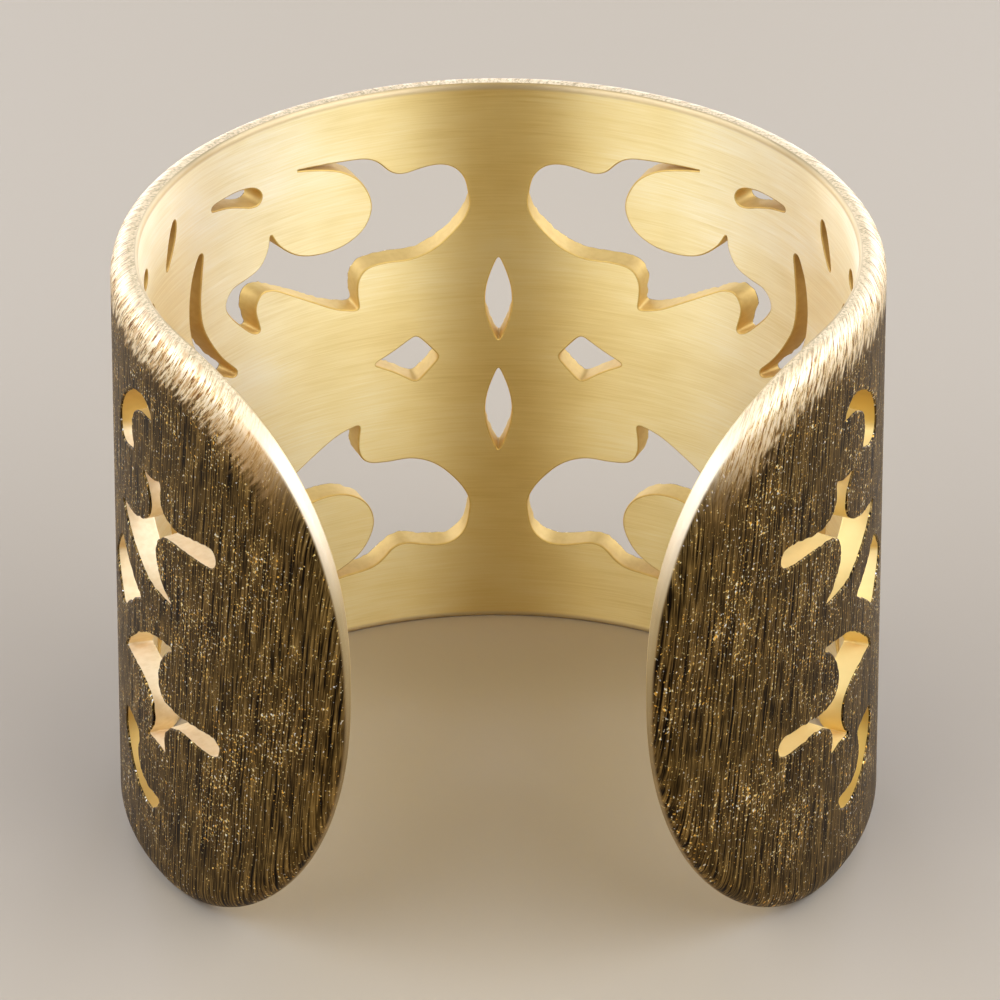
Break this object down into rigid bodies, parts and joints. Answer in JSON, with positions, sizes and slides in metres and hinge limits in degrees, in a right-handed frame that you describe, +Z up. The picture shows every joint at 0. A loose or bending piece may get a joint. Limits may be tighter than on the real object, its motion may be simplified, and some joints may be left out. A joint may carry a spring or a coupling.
{
  "type": "open cuff finger ring",
  "caption": "Wide open-front finger ring with pierced scrollwork, a coarse brushed outside, a smooth bore and rounded tongue-shaped ends.",
  "frame": {"origin": "middle of the box around the ring, on the plane that its bottom rim rests on", "axes": "+Z up along the finger bore, -Y towards the gap between the tongues, +X to the right seen from the gap"},
  "size_m": [0.0194, 0.0186, 0.0158],
  "materials": {
    "gold_metal": "gold-coloured metal, smooth satin inside, coarse brushed along the finger outside, rubbed bright on the rounded outer edges"
  },
  "bodies": {
    "root": {"band": "gold_metal"}
  },
  "joints": []
}
